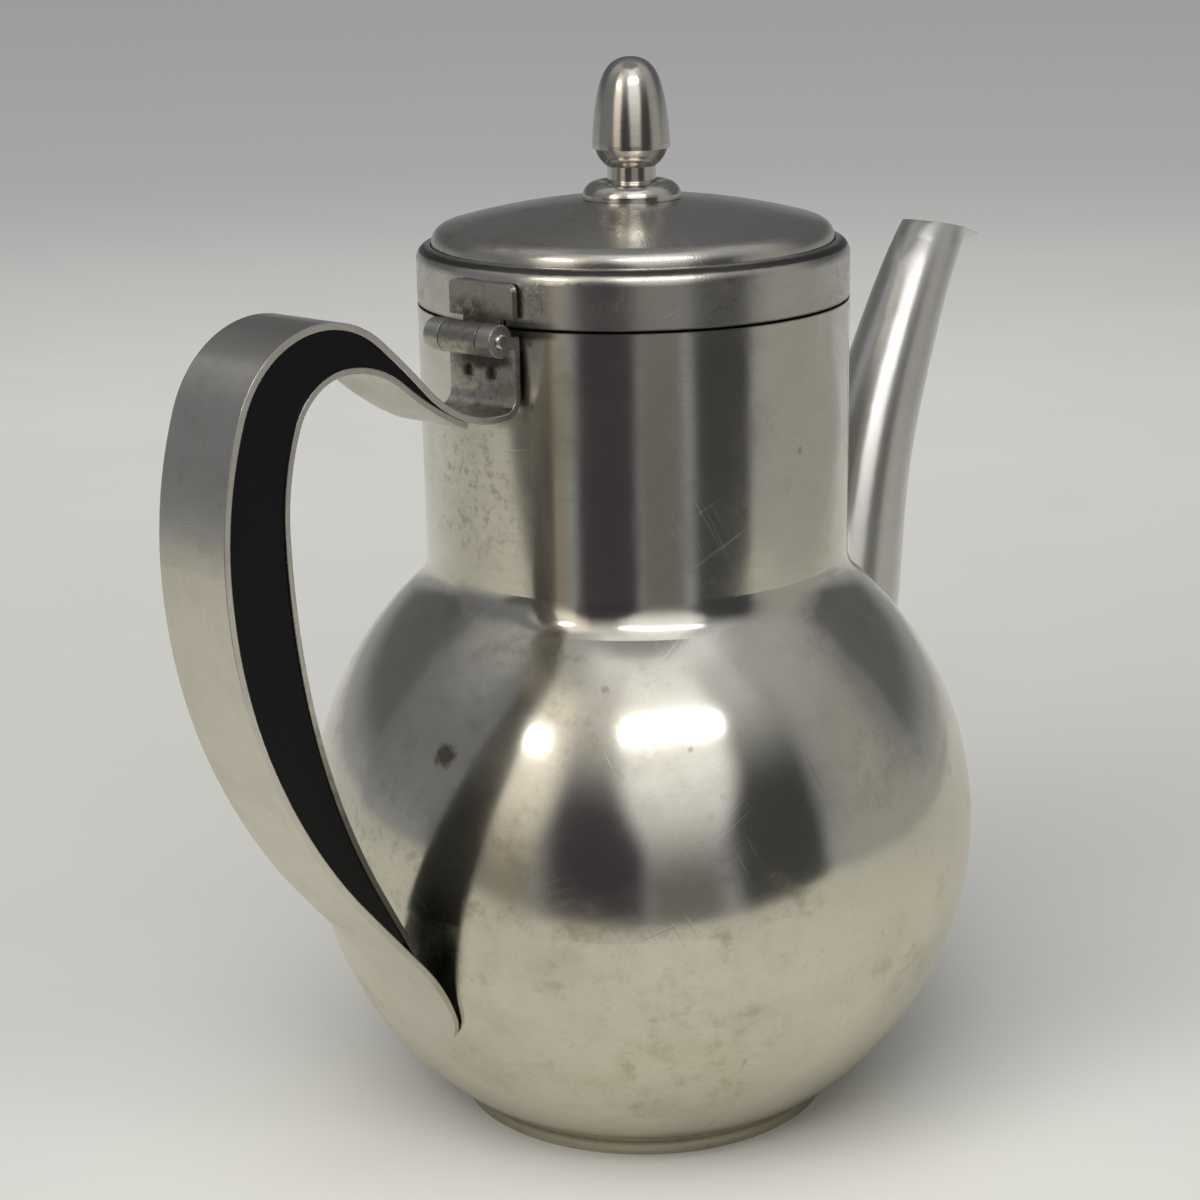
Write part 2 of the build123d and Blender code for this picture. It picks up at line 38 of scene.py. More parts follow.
class Signal:
    """A socket's value, on which Python arithmetic adds Math nodes."""

    def __init__(self, bench: "Bench", socket: Optional[bpy.types.NodeSocket]) -> None:
        """Wrap a socket.

        Args:
            bench: The bench whose tree holds the socket.
            socket: An output socket, or None.
        """
        self.bench = bench
        self.socket = socket

    def math(self, operation: str, *others: Union["Signal", Number], clamp: bool = False) -> "Signal":
        """Pass this value and the others through one Math node.

        Args:
            operation: The Math node's operation.
            others: Its further operands.
            clamp: Whether the result is held between 0 and 1.

        Returns:
            The result.
        """
        inputs = dict(enumerate((self, *others)))
        return self.bench.node("ShaderNodeMath", {"operation": operation, "use_clamp": clamp}, inputs)

    def __add__(self, other: Union["Signal", Number]) -> "Signal":
        """Return the sum."""
        return self.math("ADD", other)

    def __sub__(self, other: Union["Signal", Number]) -> "Signal":
        """Return the difference."""
        return self.math("SUBTRACT", other)

    def __rsub__(self, other: Number) -> "Signal":
        """Return a number less this value."""
        return self.bench.node("ShaderNodeMath", {"operation": "SUBTRACT"}, {0: other, 1: self})

    def __mul__(self, other: Union["Signal", Number]) -> "Signal":
        """Return the product."""
        return self.math("MULTIPLY", other)

    def __truediv__(self, other: Union["Signal", Number]) -> "Signal":
        """Return the quotient."""
        return self.math("DIVIDE", other)

    def __abs__(self) -> "Signal":
        """Return the size of the value."""
        return self.math("ABSOLUTE")

    def over(self, low: float, high: float) -> "Signal":
        """Rise smoothly from 0 at low to 1 at high, or fall where low is the larger.

        Args:
            low: Where the result is 0.
            high: Where the result is 1.

        Returns:
            The smooth step.
        """
        if low > high:
            return 1.0 - self.over(high, low)
        settings = {"interpolation_type": "SMOOTHSTEP"}
        return self.bench.node("ShaderNodeMapRange", settings, {0: self, 1: low, 2: high})

    def band(self, low: float, high: float, soft: float) -> "Signal":
        """Return 1 between low and high and 0 outside, with soft edges.

        Args:
            low: The middle of the rising edge.
            high: The middle of the falling edge.
            soft: Half the width of an edge.

        Returns:
            The band.
        """
        return self.over(low - soft, low + soft) * self.over(high + soft, high - soft)


Value = Union[Signal, Number, Sequence[float]]


class Bench:
    """A node tree under construction."""

    def __init__(self, tree: bpy.types.NodeTree) -> None:
        """Clear a tree and keep it.

        Args:
            tree: The tree of a material or of the world.
        """
        self.tree = tree
        tree.nodes.clear()

    def node(
        self,
        kind: str,
        settings: Optional[Mapping[str, Any]] = None,
        inputs: Optional[Mapping[Union[int, str], Value]] = None,
        output: Union[int, str] = 0,
    ) -> Signal:
        """Add a node, set it, and feed its sockets.

        Args:
            kind: The node's type.
            settings: Its properties.
            inputs: A value or a link for each socket, by name or number.
            output: The output that is returned.

        Returns:
            The output as a signal, which is empty for a node that ends the tree.
        """
        made = self.tree.nodes.new(kind)
        for name, setting in (settings or {}).items():
            setattr(made, name, setting)
        for name, value in (inputs or {}).items():
            self.feed(made.inputs[name], value)
        return Signal(self, made.outputs[output] if made.outputs else None)

    def feed(self, socket: bpy.types.NodeSocket, value: Value) -> None:
        """Link a signal to a socket, or set the socket's own value.

        Args:
            socket: The socket to feed.
            value: A signal, number, colour or vector.
        """
        if isinstance(value, Signal):
            self.tree.links.new(value.socket, socket)
        elif socket.type == "RGBA" and len(value) == 3:
            socket.default_value = (*value, 1.0)
        else:
            socket.default_value = value

    def place(self) -> Signal:
        """Return the piece's own coordinates, in metres."""
        return self.node("ShaderNodeTexCoord", output="Object")

    def upward(self, vector: Signal) -> Signal:
        """Return the vertical part of a vector."""
        return self.node("ShaderNodeSeparateXYZ", None, {0: vector}, "Z")

    def vector(self, operation: str, *operands: Value, output: Union[int, str] = 0) -> Signal:
        """Pass vectors through one Vector Math node.

        Args:
            operation: The node's operation.
            operands: Vectors or signals.
            output: "Value" for a length, distance or dot product.

        Returns:
            The result.
        """
        return self.node("ShaderNodeVectorMath", {"operation": operation}, dict(enumerate(operands)), output)

    def noise(
        self, at: Signal, scale: float, detail: float = 3.0, rough: float = 0.5, stretch: Triple = (1, 1, 1)
    ) -> Signal:
        """Return soft noise between about 0 and 1.

        Args:
            at: Coordinates in metres.
            scale: Cells in a metre.
            detail: Octaves.
            rough: Share that each octave keeps.
            stretch: Factors on the three axes.

        Returns:
            The noise.
        """
        moved = self.vector("MULTIPLY", at, stretch)
        inputs = {"Vector": moved, "Scale": scale, "Detail": detail, "Roughness": rough}
        return self.node("ShaderNodeTexNoise", None, inputs)

    def dot(self, at: Signal, way: Vector) -> Signal:
        """Return how far a place lies along a direction.

        Args:
            at: Coordinates in metres.
            way: A direction.

        Returns:
            The dot product.
        """
        return self.vector("DOT_PRODUCT", at, tuple(way), output="Value")

    def length(self, vector: Signal) -> Signal:
        """Return the length of a vector."""
        return self.vector("LENGTH", vector, output="Value")

    def blend(self, share: Value, first: Value, second: Value) -> Signal:
        """Mix two colours.

        Args:
            share: How much of the second shows.
            first: A colour or signal.
            second: A colour or signal.

        Returns:
            The mixed colour.
        """
        settings = {"data_type": "RGBA", "clamp_factor": True}
        return self.node("ShaderNodeMix", settings, {0: share, 6: first, 7: second}, 2)


def scaled(tint: Triple, *shares: float) -> Triple:
    """Darken or lighten a colour.

    Args:
        tint: The colour.
        shares: One factor for all three parts, or one for each.

    Returns:
        The changed colour.
    """
    factors = shares * 3 if len(shares) == 1 else shares
    return tuple(part * factor for part, factor in zip(tint, factors))


def open_material(name: str) -> tuple[bpy.types.Material, Bench]:
    """Add an empty material.

    Args:
        name: The material's name.

    Returns:
        The material, and a bench on its node tree.
    """
    made = bpy.data.materials.new(name)
    made.use_nodes = True
    return made, Bench(made.node_tree)


# ---------------------------------------------------------------- finishes


class Grain(Enum):
    """The direction in which a piece was brushed."""

    ROUND = "turned about the pot's axis"
    LONG = "along a strip"
    PLAIN = "without direction"


# How a brushed surface's noise is stretched: short across the brush lines and long along them.
GRAIN_STRETCH: dict[Grain, Triple] = {
    Grain.ROUND: (0.030, 0.030, 1.0),
    Grain.LONG: (0.03, 1.0, 0.03),
    Grain.PLAIN: (1.0, 1.0, 1.0),
}

# Three turns of the coordinates, so that hairlines cross each other.
HAIRLINE_TURNS: tuple[Triple, ...] = ((0.4, 0.2, 0.9), (1.3, -0.5, 2.2), (-0.8, 0.9, 0.1))

SCRATCH_TINT: Triple = (0.34, 0.30, 0.24)

# How far a line of painted shade strays from its height, in metres.
SHADE_LINE_RAGGED = 0.0003


@dataclass(frozen=True)
class Mark:
    """One stain or one spot of painted shade on the steel: where it lies, how far it reaches and how dark it
    is.
    """

    place: Triple
    reach: float
    depth: float
    tint: Triple = (0.30, 0.27, 0.22)
    stretch: Triple = (1.0, 1.0, 1.0)
    ragged: float = 1.7


@dataclass(frozen=True)
class Patch:
    """An area that is mottled or freckled, with the number of its flecks in a metre."""

    place: Triple
    reach: float
    depth: float
    flecks: float
    cover: float
    tint: Triple = (0.34, 0.32, 0.27)
    stretch: Triple = (1.0, 1.0, 1.0)


@dataclass(frozen=True)
class Scratch:
    """One fine line between two places."""

    start: Triple
    end: Triple
    width: float
    depth: float


@dataclass(frozen=True)
class ShadeLine:
    """A level line of painted shade round a part, between two heights."""

    low: float
    high: float
    depth: float
    soft: float = 0.0002
    tint: Triple = (0.020, 0.018, 0.016)


@dataclass(frozen=True)
class Steel:
    """Brushed stainless steel with the traces of use and with spots and lines of painted shade.

    The shades are shares of the tint, the covers say how far they hide it, and the gloss and relief
    figures say how much each trace adds to roughness and to height.
    """

    name: str
    tint: Triple
    roughness: float = 0.16
    grain: Grain = Grain.ROUND
    grain_depth: float = 0.010
    cloud: float = 0.5
    stretch_of_gloss: float = 0.35
    dents: float = 1.3
    edge: float = 0.0
    marks: tuple[Mark, ...] = ()
    patches: tuple[Patch, ...] = ()
    scratches: tuple[Scratch, ...] = ()
    shade_lines: tuple[ShadeLine, ...] = ()
    smear_shade: float = 0.72
    film_shade: Triple = (0.50, 0.46, 0.36)
    film_cover: float = 0.85
    line_shade: float = 0.74
    line_contrast: float = 0.9
    line_cover: float = 0.12
    hair_wear: float = 0.14
    smear_gloss: float = 0.10
    line_gloss: float = 0.07
    worn_gloss: float = 0.15
    film_gloss: float = 0.14
    hair_gloss: float = 0.03
    hair_relief: float = -0.03
    worn_relief: float = -0.04
    relief: float = 0.10
    relief_depth: float = 0.001

    def lines(self, bench: Bench, at: Signal) -> Signal:
        """Return the brush lines, about 0 to 1.

        Args:
            bench: The material's bench.
            at: Coordinates in metres.

        Returns:
            The lines.
        """
        stretch = GRAIN_STRETCH[self.grain]
        fine = bench.noise(at, scale=3400.0, detail=2.0, rough=0.6, stretch=stretch)
        wide = bench.noise(at, scale=620.0, detail=3.0, rough=0.6, stretch=stretch)
        return fine * 0.75 + wide * 0.25

    def smears(self, bench: Bench, at: Signal) -> Signal:
        """Return the cloudy smears that wiping leaves."""
        large = bench.noise(at, scale=26.0, detail=5.0, rough=0.62, stretch=(1.0, 1.0, 1.6))
        small = bench.noise(at, scale=120.0, detail=4.0, rough=0.6)
        return large.over(0.42, 0.68) * 0.65 + small.over(0.50, 0.72) * 0.35

    def film(self, bench: Bench, at: Signal) -> Signal:
        """Return the dull film that coffee and water leave, broken up into blots."""
        wide = bench.noise(at, scale=34.0, detail=6.0, rough=0.70, stretch=(1.0, 1.0, 1.25))
        wide = wide.over(0.50, 0.64)
        blots = bench.noise(at, scale=210.0, detail=5.0, rough=0.72).over(0.46, 0.66)
        return wide * (blots * 0.7 + 0.3)

    def hairlines(self, bench: Bench, at: Signal) -> Signal:
        """Return fine scratches in several directions, from cloths and other tableware."""
        total: Optional[Signal] = None
        settings = {"rotation_type": "EULER_XYZ"}
        for turn in HAIRLINE_TURNS:
            turned = bench.node("ShaderNodeVectorRotate", settings, {"Vector": at, "Rotation": turn})
            line = bench.noise(turned, scale=1700.0, detail=1.0, rough=0.4, stretch=(1.0, 0.028, 0.028))
            line = line.over(0.665, 0.72)
            total = line if total is None else total + line
        return total * bench.noise(at, scale=60.0, detail=2.0).over(0.45, 0.65)

    def stains_and_shade(self, bench: Bench, at: Signal) -> list[tuple[Signal, Triple]]:
        """Return each stain, patch and scratch, and each spot and line of painted shade, as a mask with its
        tint.

        Args:
            bench: The material's bench.
            at: Coordinates in metres.

        Returns:
            Pairs of mask and colour.
        """
        ragged = bench.noise(at, scale=420.0, detail=4.0, rough=0.7) - 0.5
        layers: list[tuple[Signal, Triple]] = []
        for mark in self.marks:
            away = bench.vector("MULTIPLY", bench.vector("SUBTRACT", at, mark.place), mark.stretch)
            far = bench.length(away) / mark.reach + ragged * mark.ragged
            layers.append((far.over(1.0, 0.35) * mark.depth, mark.tint))
        for patch in self.patches:
            away = bench.vector("MULTIPLY", bench.vector("SUBTRACT", at, patch.place), patch.stretch)
            near = (bench.length(away) / patch.reach + ragged).over(1.0, 0.3)
            flecks = bench.noise(at, scale=patch.flecks, detail=4.0, rough=0.7)
            flecks = flecks.over(patch.cover, patch.cover + 0.20)
            layers.append((near * flecks * patch.depth, patch.tint))
        for scratch in self.scratches:
            start, run = Vector(scratch.start), Vector(scratch.end) - Vector(scratch.start)
            offset = bench.vector("SUBTRACT", at, tuple(start))
            along = bench.dot(offset, run / run.length_squared)
            foot = bench.vector("SCALE", tuple(run))
            bench.feed(foot.socket.node.inputs["Scale"], along.math("MAXIMUM", 0.0).math("MINIMUM", 1.0))
            away = bench.length(bench.vector("SUBTRACT", offset, foot))
            near = (away + ragged * scratch.width).over(scratch.width, scratch.width * 0.3)
            layers.append((near * scratch.depth, SCRATCH_TINT))
        # Level lines of painted shade in grooves and in gaps between parts.
        if self.shade_lines:
            height = bench.upward(at) + ragged * SHADE_LINE_RAGGED
            for shade_line in self.shade_lines:
                layers.append((height.band(shade_line.low, shade_line.high, shade_line.soft) * shade_line.depth, shade_line.tint))
        return layers

    def material(self) -> bpy.types.Material:
        """Build the node tree and return the material."""
        made, bench = open_material(self.name)
        at = bench.place()
        lines, smears, hairs = self.lines(bench, at), self.smears(bench, at), self.hairlines(bench, at)
        colour = bench.blend(smears * self.cloud, self.tint, scaled(self.tint, self.smear_shade))
        film = self.film(bench, at) * self.cloud
        colour = bench.blend(film * self.film_cover, colour, scaled(self.tint, *self.film_shade))
        between = (lines - 0.5) * self.line_contrast + self.line_cover
        colour = bench.blend(between, colour, scaled(self.tint, self.line_shade))
        wear_and_shade = hairs * self.hair_wear
        # Stains, scratches and painted shade darken the colour here.
        for mask, tint in self.stains_and_shade(bench, at):
            colour = bench.blend(mask, colour, tint)
            wear_and_shade = wear_and_shade + mask
        gloss = smears * (self.smear_gloss * self.cloud) + (lines - 0.5) * self.line_gloss
        gloss = gloss + wear_and_shade * self.worn_gloss + film * self.film_gloss + hairs * self.hair_gloss
        gloss = gloss + self.roughness
        dents = bench.noise(at, scale=42.0, detail=2.0, rough=0.4)
        height = lines * self.grain_depth + hairs * self.hair_relief + wear_and_shade * self.worn_relief
        height = height + dents * self.dents
        settings = {"Height": height, "Strength": self.relief, "Distance": self.relief_depth}
        if self.edge > 0:
            settings["Normal"] = bench.node("ShaderNodeBevel", {"samples": 4}, {"Radius": self.edge})
        bump = bench.node("ShaderNodeBump", None, settings)
        shader = bench.node(
            "ShaderNodeBsdfPrincipled",
            None,
            {
                "Base Color": colour,
                "Metallic": 1.0,
                "Roughness": gloss,
                "Anisotropic": self.stretch_of_gloss,
                "Anisotropic Rotation": 0.25,
                "Normal": bump,
            },
        )
        bench.node("ShaderNodeOutputMaterial", None, {"Surface": shader})
        return made


@dataclass(frozen=True)
class Plastic:
    """Dark moulded plastic with a satin skin."""

    name: str
    tint: Triple
    roughness: float = 0.35
    pore_gloss: float = 0.10
    dust_gloss: float = 0.12
    dust_cover: float = 0.30
    relief: float = 0.20
    relief_depth: float = 0.0004

    def material(self) -> bpy.types.Material:
        """Build the node tree and return the material."""
        made, bench = open_material(self.name)
        at = bench.place()
        pores = bench.noise(at, scale=1900.0, detail=3.0, rough=0.6)
        saw = bench.noise(at, scale=700.0, detail=3.0, rough=0.6, stretch=(0.25, 1.0, 0.25))
        dust = bench.noise(at, scale=260.0, detail=5.0, rough=0.7).over(0.60, 0.76)
        dusty = tuple(part * 1.8 + 0.004 for part in self.tint)
        colour = bench.blend(dust * self.dust_cover, self.tint, dusty)
        gloss = pores * self.pore_gloss + dust * self.dust_gloss + self.roughness
        height = pores * 0.4 + saw * 0.6
        settings = {"Height": height, "Strength": self.relief, "Distance": self.relief_depth}
        bump = bench.node("ShaderNodeBump", None, settings)
        shader = bench.node(
            "ShaderNodeBsdfPrincipled",
            None,
            {"Base Color": colour, "Roughness": gloss, "Specular IOR Level": 0.16, "Normal": bump},
        )
        bench.node("ShaderNodeOutputMaterial", None, {"Surface": shader})
        return made


# ---------------------------------------------------------------- sub-assemblies


class Assembly:
    """A group of CAD nodes with the finish of each."""

    finishes: Mapping[str, Union[Steel, Plastic]]

    def dress(self) -> list[str]:
        """Give every node of the group its finish.

        Returns:
            The names of the dressed nodes.
        """
        done = {}
        for node, finish in self.finishes.items():
            if finish.name not in done:
                done[finish.name] = finish.material()
            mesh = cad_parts[node].data
            mesh.materials.clear()
            mesh.materials.append(done[finish.name])
        return list(self.finishes)


class Pot(Assembly):
    """The two halves of the ball, the neck, and the pan in the bottom."""

    def __init__(self) -> None:
        """Set the finishes: a wiped ball and a brushed neck with the same stains and the same painted shade,
        and a duller foot with a line of painted shade just above the floor.
        """
        wear_and_shade = dict(
            # place, reach, depth, tint, stretch, ragged
            marks=(
                Mark((-0.0575, -0.0033, 0.0841), 0.0030, 0.85, (0.15, 0.10, 0.06)),
                Mark((-0.0573, -0.0279, 0.0469), 0.0021, 0.40, (0.40, 0.38, 0.33), (1.0, 0.8, 2.0)),
                Mark((-0.0366, -0.0420, 0.0876), 0.0008, 0.7, (0.20, 0.18, 0.15)),
                Mark((-0.0414, -0.0269, 0.0967), 0.0011, 0.6, (0.26, 0.24, 0.20)),
                Mark((-0.0233, -0.0557, 0.0776), 0.0009, 0.5, (0.24, 0.22, 0.18)),
                Mark((0.0188, -0.0593, 0.0718), 0.0016, 0.35, (0.36, 0.34, 0.29)),
                Mark((-0.0022, -0.0399, 0.1339), 0.0009, 0.5, (0.24, 0.22, 0.19)),
                # Painted shadow on the neck along the edge of the hinge leaf, where the flat leaf stands off
                # it.
                Mark((-0.0392, -0.0080, 0.1480), 0.0050, 0.85, (0.10, 0.09, 0.08), (1.0, 3.2, 0.55), 0.5),
                Mark((-0.0395, -0.0030, 0.1425), 0.0060, 0.55, (0.22, 0.21, 0.19), (1.0, 0.8, 1.8), 0.7),
                # Painted shade on the ball round the foot of the handle's tongue.
                Mark((-0.0638, -0.0050, 0.0505), 0.0100, 0.92, (0.040, 0.036, 0.032), (1.0, 1.3, 0.8), 0.4),
                # Painted shadow in the gap under the lid's band, beside the hinge.
                Mark((-0.0388, -0.0090, 0.1570), 0.0055, 0.85, (0.05, 0.05, 0.045), (1.0, 0.8, 3.5), 0.5),
            ),
            # place, reach, depth, flecks, cover, tint, stretch
            patches=(
                Patch((-0.0394, 0.0071, 0.1281), 0.0185, 0.62, 430.0, 0.47),
                Patch((-0.0630, 0.0086, 0.0650), 0.0260, 0.45, 260.0, 0.47, (0.42, 0.40, 0.33)),
                Patch((-0.0137, -0.0620, 0.0457), 0.0260, 0.40, 780.0, 0.54, (0.40, 0.38, 0.31)),
                Patch((-0.0528, -0.0342, 0.0423), 0.0220, 0.30, 330.0, 0.52, (0.46, 0.43, 0.34)),
                Patch((-0.0040, -0.0592, 0.0803), 0.0200, 0.35, 420.0, 0.52, (0.40, 0.37, 0.30)),
                Patch((-0.0400, -0.0018, 0.1231), 0.0110, 0.35, 620.0, 0.52),
                Patch((-0.0224, -0.0331, 0.1115), 0.0060, 0.75, 900.0, 0.56, (0.62, 0.60, 0.54)),
                Patch((-0.0147, -0.0372, 0.1077), 0.0070, 0.75, 900.0, 0.57, (0.60, 0.58, 0.52)),
                Patch((-0.0414, -0.0269, 0.0940), 0.0090, 0.30, 500.0, 0.54),
                Patch((-0.0313, -0.0496, 0.0230), 0.0140, 0.25, 380.0, 0.55, (0.45, 0.42, 0.33)),
            ),
            # start, end, width, depth
            scratches=(
                Scratch((-0.0313, -0.0496, 0.0291), (-0.0259, -0.0372, 0.0099), 0.0007, 0.40),
                Scratch((-0.0470, -0.0410, 0.0640), (-0.0405, -0.0470, 0.0615), 0.0003, 0.45),
            ),
            # A line of painted shade round the neck's rim, in the gap under the lid's band.
            shade_lines=(ShadeLine(0.15735, 0.1580, 0.8),),
        )
        ball = Steel("ball_steel", (0.71, 0.69, 0.63), 0.125, Grain.PLAIN, cloud=0.7, **wear_and_shade)
        neck = Steel("neck_steel", (0.71, 0.69, 0.63), 0.135, Grain.ROUND, **wear_and_shade)
        # A line of painted shade round the foot, just above the floor.
        ring = ShadeLine(0.0020, 0.0040, 0.55, 0.0006)
        foot = Steel("foot_steel", (0.60, 0.57, 0.49), 0.24, cloud=0.8, shade_lines=(ring,))
        self.finishes = {"ball_lower": ball, "ball_upper": ball, "neck_tube": neck, "base_pan": foot}


class Handle(Assembly):
    """Two steel strips round a dark core."""

    def __init__(self) -> None:
        """Set the finishes, with dirt in the two spot welds of the hinge leaf, painted shadow under the hinge
        barrel and painted shade on the inner strip.
        """
        strip = Steel(
            "strap_steel",
            (0.69, 0.67, 0.63),
            0.21,
            Grain.LONG,
            edge=0.0003,
            stretch_of_gloss=0.0,
            marks=(
                Mark((-0.0440, 0.0, 0.1530), 0.0125, 0.65, (0.26, 0.245, 0.21), ragged=0.8),
                # Painted shadow on the leaf just under the hinge barrel.
                Mark((-0.04125, 0.0, 0.1522), 0.0060, 0.92, (0.06, 0.055, 0.05), (1.0, 0.6, 2.2), 0.8),
                Mark((-0.04125, 0.0036, 0.1498), 0.0017, 0.9, (0.03, 0.028, 0.025), ragged=0.5),
                Mark((-0.04125, -0.0018, 0.1496), 0.0017, 0.9, (0.03, 0.028, 0.025), ragged=0.5),
            ),
            patches=(
                Patch((-0.0425, 0.0, 0.1500), 0.0130, 0.6, 700.0, 0.46, (0.16, 0.15, 0.13)),
                Patch((-0.0560, 0.0, 0.1400), 0.0200, 0.3, 520.0, 0.50, (0.36, 0.34, 0.30)),
            ),
        )
        core = Plastic("core_black", (0.0032, 0.0034, 0.0048))
        # Painted shade: the inner strip has a darker tint than the outer strip, and its two large marks
        # darken its face towards the ball.
        inner = Steel(
            "inner_steel",
            (0.60, 0.58, 0.55),
            0.26,
            Grain.LONG,
            edge=0.0003,
            stretch_of_gloss=0.0,
            marks=(
                Mark((-0.0860, 0.0, 0.0620), 0.0500, 0.85, (0.09, 0.085, 0.08), ragged=0.6),
                Mark((-0.0690, 0.0, 0.0440), 0.0300, 0.85, (0.09, 0.085, 0.08), ragged=0.6),
            ),
        )
        self.finishes = {"outer_strap": strip, "inner_strap": inner, "handle_core": core}


class Hinge(Assembly):
    """The pin and the plate on the lid."""

    def __init__(self) -> None:
        """Set the finishes: the plate's foot is stained brown."""
        brown = (0.14, 0.11, 0.085)
        dull = Steel(
            "hinge_steel",
            (0.45, 0.43, 0.39),
            0.25,
            Grain.PLAIN,
            cloud=0.9,
            stretch_of_gloss=0.0,
            edge=0.0002,
            patches=(
                Patch((-0.0413, 0.0030, 0.1600), 0.0060, 0.95, 420.0, 0.40, brown, (1.0, 0.7, 1.3)),
                Patch((-0.0449, 0.0, 0.1564), 0.0100, 0.65, 1100.0, 0.44, (0.20, 0.185, 0.16)),
            ),
        )
        pin = Steel("pin_steel", (0.68, 0.66, 0.62), 0.17, Grain.PLAIN, stretch_of_gloss=0.0, edge=0.0002)
        self.finishes = {"hinge_pin": pin, "lid_leaf": dull}


class Spout(Assembly):
    """The drawn spout."""

    def __init__(self) -> None:
        """Set the finish."""
        tint = (0.78, 0.77, 0.745)
        drawn = Steel("spout_steel", tint, 0.30, Grain.PLAIN, stretch_of_gloss=0.80, cloud=0.35, edge=0.0002)
        self.finishes = {"spout": drawn}


class Lid(Assembly):
    """The lid with the ring that centres it in the neck."""

    def __init__(self) -> None:
        """Set the finishes, with painted shade in the groove and in the gap under the band."""
        dark, grey = (0.05, 0.05, 0.045), (0.20, 0.19, 0.16)
        shell = Steel(
            "lid_steel",
            (0.66, 0.64, 0.60),
            0.22,
            cloud=0.8,
            edge=0.0002,
            # Painted shadow in the wedge of the gap under the band, beside the hinge.
            marks=(Mark((-0.0400, -0.0090, 0.1583), 0.0055, 0.80, dark, (1.0, 0.7, 3.5), 0.5),),
            patches=(
                Patch((0.0100, 0.0150, 0.1755), 0.0140, 0.35, 300.0, 0.50, (0.30, 0.28, 0.25)),
                Patch((-0.0161, -0.0061, 0.1749), 0.0160, 0.60, 260.0, 0.44, (0.34, 0.32, 0.28)),
                Patch((-0.0400, -0.0110, 0.1630), 0.0050, 0.80, 500.0, 0.42, grey, (1.0, 1.4, 0.7)),
                Patch((-0.0299, -0.0265, 0.1625), 0.0040, 0.45, 700.0, 0.52),
            ),
            # Lines of painted shade in the groove under the dome and in the gap under the band.
            shade_lines=(ShadeLine(0.1672, 0.1681, 0.85), ShadeLine(0.1576, 0.15815, 0.8)),
        )
        # A band of painted shade round the ring, where it sits in the neck's rim.
        ring = Steel("ring_steel", (0.60, 0.58, 0.54), 0.26, shade_lines=(ShadeLine(0.1566, 0.1590, 1.0, 0.0003),))
        self.finishes = {"lid_shell": shell, "locating_ring": ring}


class Finial(Assembly):
    """Acorn, collar, washer and screw."""

    def __init__(self) -> None:
        """Set the finishes: the acorn is polished, the screw is as it was turned."""
        acorn = Steel("finial_steel", (0.69, 0.66, 0.61), 0.15, cloud=0.3)
        washer = Steel("washer_steel", (0.60, 0.58, 0.54), 0.26)
        screw = Steel("screw_steel", (0.60, 0.59, 0.56), 0.30)
        self.finishes = {
            "finial": acorn,
            "finial_collar": acorn,
            "finial_washer": washer,
            "finial_screw": screw,
        }


# ---------------------------------------------------------------- studio


@dataclass(frozen=True)
class Panel:
    """One upright panel of the room.

    It has two bearings, a tone that changes between the elevations foot and head, soft edges, and a
    flare that widens it towards the top.
    """

    start: float
    end: float
    low: Triple
    high: Triple
    foot: float
    head: float
    soft: float = 3.0
    flare: float = 0.0


@dataclass(frozen=True)
class Lamp:
    """One soft lamp that faces the pot.

    It has a bearing and an elevation in degrees, a distance from the room's middle, a width and a height
    in metres, and its watts. The steel shows it unless it only fills.
    """

    name: str
    around: float
    above: float
    far: float
    size: tuple[float, float]
    power: float
    only_fills: bool = False


